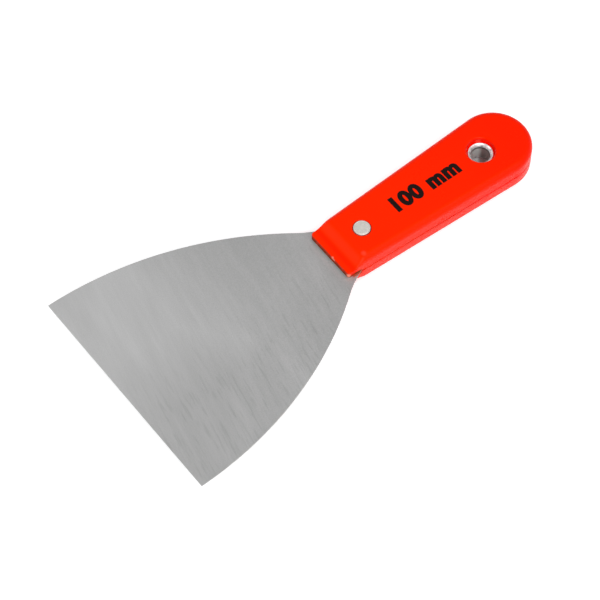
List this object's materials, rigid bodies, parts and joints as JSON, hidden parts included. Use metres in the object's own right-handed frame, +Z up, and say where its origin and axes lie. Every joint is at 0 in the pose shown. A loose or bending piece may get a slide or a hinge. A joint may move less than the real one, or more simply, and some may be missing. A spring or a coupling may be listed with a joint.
{
  "type": "flexible putty knife",
  "caption": "Flexible putty knife: flared spring-steel blade held between moulded handle halves by a flush rivet and a hollow eyelet that lines the hanging hole.",
  "frame": {"origin": "under the middle of the knife, on the plane of the handle's lower face", "axes": "+Y along the knife from the working edge to the handle's end, +X across the blade, +Z up out of the handle's upper face"},
  "size_m": [0.1, 0.2, 0.0146],
  "materials": {
    "blade_steel": "satin, ground across the blade",
    "handle_plastic": "smooth semi-gloss orange-red moulding",
    "rivet_metal": "matt, lightly pitted",
    "eyelet_metal": "bright nickel plate",
    "marking_ink": "near-black pad print of the size"
  },
  "bodies": {
    "root": {"blade": "blade_steel", "upper_handle_half": "handle_plastic", "lower_handle_half": "handle_plastic", "front_rivet": "rivet_metal", "hanging_eyelet": "eyelet_metal"}
  },
  "joints": []
}
